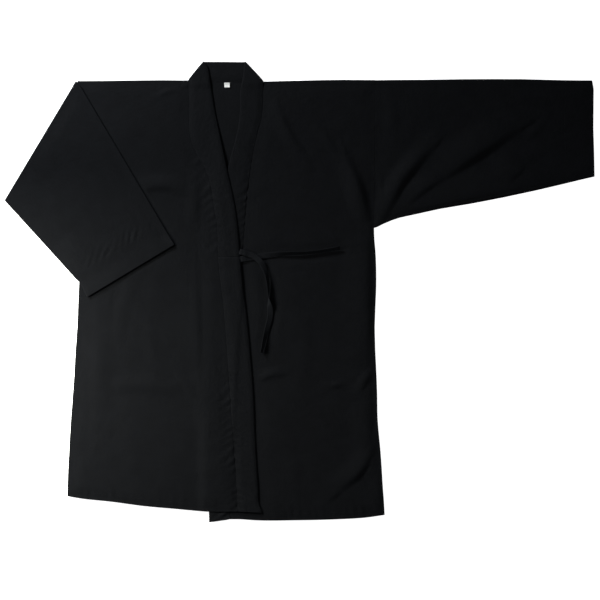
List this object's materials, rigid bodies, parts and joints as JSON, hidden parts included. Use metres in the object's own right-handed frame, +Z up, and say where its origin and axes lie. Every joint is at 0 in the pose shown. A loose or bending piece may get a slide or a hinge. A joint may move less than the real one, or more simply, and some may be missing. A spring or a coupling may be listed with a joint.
{
  "type": "iaido gi",
  "caption": "Black wrap-front practice jacket with wide sleeves, laid flat, one sleeve stretched out and one folded over the front, with a collar band and two ties.",
  "frame": {"origin": "middle of the laid-out jacket's box, on the surface that it lies on", "axes": "+X towards the stretched-out left sleeve's cuff, +Y from hem to collar, +Z up from the surface"},
  "size_m": [1.2188, 0.9518, 0.0104],
  "materials": {
    "cloth": "near-black plain weave, matt with a faint sheen",
    "band": "near-black plain weave, folded double and pressed",
    "tie": "near-black plain weave, folded narrow",
    "label": "white woven, blank"
  },
  "bodies": {
    "root": {"back": "cloth", "front_left": "cloth", "front_right": "cloth", "sleeve_left": "cloth", "sleeve_right": "cloth", "collar": "band", "collar_end_left": "band", "collar_end_right": "band", "tie_left": "tie", "tie_right": "tie", "label": "label"}
  },
  "joints": []
}
